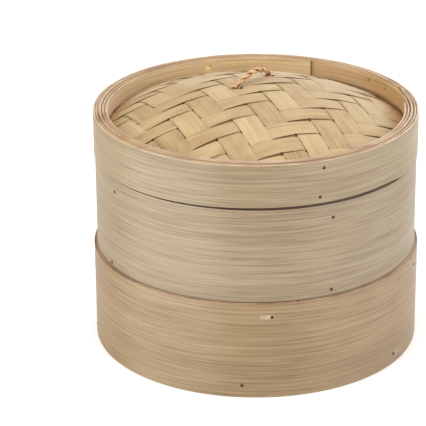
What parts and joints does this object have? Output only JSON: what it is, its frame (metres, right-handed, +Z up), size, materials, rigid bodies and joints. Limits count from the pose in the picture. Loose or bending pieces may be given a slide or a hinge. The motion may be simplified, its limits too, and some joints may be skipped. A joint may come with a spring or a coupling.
{
  "type": "bamboo steamer basket",
  "caption": "Round stacked bamboo steamer: hoop-walled baskets with slatted floors, and a woven domed lid with a twisted cane carrying loop.",
  "frame": {"origin": "centre of the bottom face, where the lower basket rests", "axes": "+Z up through the stack, -Y towards the front, +X to the right seen from the front"},
  "size_m": [0.2088, 0.2088, 0.1729],
  "materials": {
    "band_pale": "smooth planed bamboo, satin",
    "band_tan": "smooth planed bamboo, satin, warmer",
    "inner_hoop": "split bamboo, satin",
    "woven_strip": "pale woven bamboo strip, satin",
    "lining_strip": "woven bamboo strip, matt",
    "slat_bamboo": "planed bamboo, satin",
    "pole_bamboo": "split bamboo pole, satin",
    "cane": "twisted split cane, satin",
    "nail_steel": "dark oxidised wire nail"
  },
  "bodies": {
    "lower_basket": {"lower_crossbar_left": "pole_bamboo", "lower_crossbar_right": "pole_bamboo", "lower_lip_band": "inner_hoop", "lower_nails": "nail_steel", "lower_outer_band": "band_tan", "lower_second_band": "inner_hoop", "lower_slat_01": "slat_bamboo", "lower_slat_02": "slat_bamboo", "lower_slat_03": "slat_bamboo", "lower_slat_04": "slat_bamboo", "lower_slat_05": "slat_bamboo", "lower_slat_06": "slat_bamboo", "lower_slat_07": "slat_bamboo", "lower_slat_08": "slat_bamboo", "lower_slat_09": "slat_bamboo", "lower_slat_10": "slat_bamboo", "lower_support_ring": "inner_hoop", "lower_third_band": "inner_hoop"},
    "upper_basket": {"upper_crossbar_left": "pole_bamboo", "upper_crossbar_right": "pole_bamboo", "upper_lip_band": "inner_hoop", "upper_nails": "nail_steel", "upper_outer_band": "band_pale", "upper_second_band": "inner_hoop", "upper_slat_01": "slat_bamboo", "upper_slat_02": "slat_bamboo", "upper_slat_03": "slat_bamboo", "upper_slat_04": "slat_bamboo", "upper_slat_05": "slat_bamboo", "upper_slat_06": "slat_bamboo", "upper_slat_07": "slat_bamboo", "upper_slat_08": "slat_bamboo", "upper_slat_09": "slat_bamboo", "upper_slat_10": "slat_bamboo", "upper_support_ring": "inner_hoop"},
    "lid": {"lid_inner_hoop": "inner_hoop", "lid_inner_liner": "inner_hoop", "lid_nails": "nail_steel", "lid_outer_band": "band_pale", "lid_rib_left": "pole_bamboo", "lid_rib_middle": "pole_bamboo", "lid_rib_right": "pole_bamboo", "lid_second_hoop": "inner_hoop", "lid_support_hoop": "inner_hoop", "lid_third_hoop": "inner_hoop", "lid_woven_lining": "lining_strip", "lid_woven_top": "woven_strip"},
    "carrying_loop": {"lid_carrying_loop": "cane"}
  },
  "joints": [
    {"name": "upper_basket_lift", "type": "slide", "parent": "lower_basket", "child": "upper_basket", "axis": [0, 0, 1], "range_m": [0, 0.12]},
    {"name": "lid_lift", "type": "slide", "parent": "upper_basket", "child": "lid", "axis": [0, 0, 1], "range_m": [0, 0.12]},
    {"name": "carrying_loop_rock", "type": "hinge", "parent": "lid", "child": "carrying_loop", "pos_m": [-0.00135, 0.015, 0.16228], "axis": [0.5555, 0.8291, -0.0643], "range_deg": [-30, 30]}
  ]
}
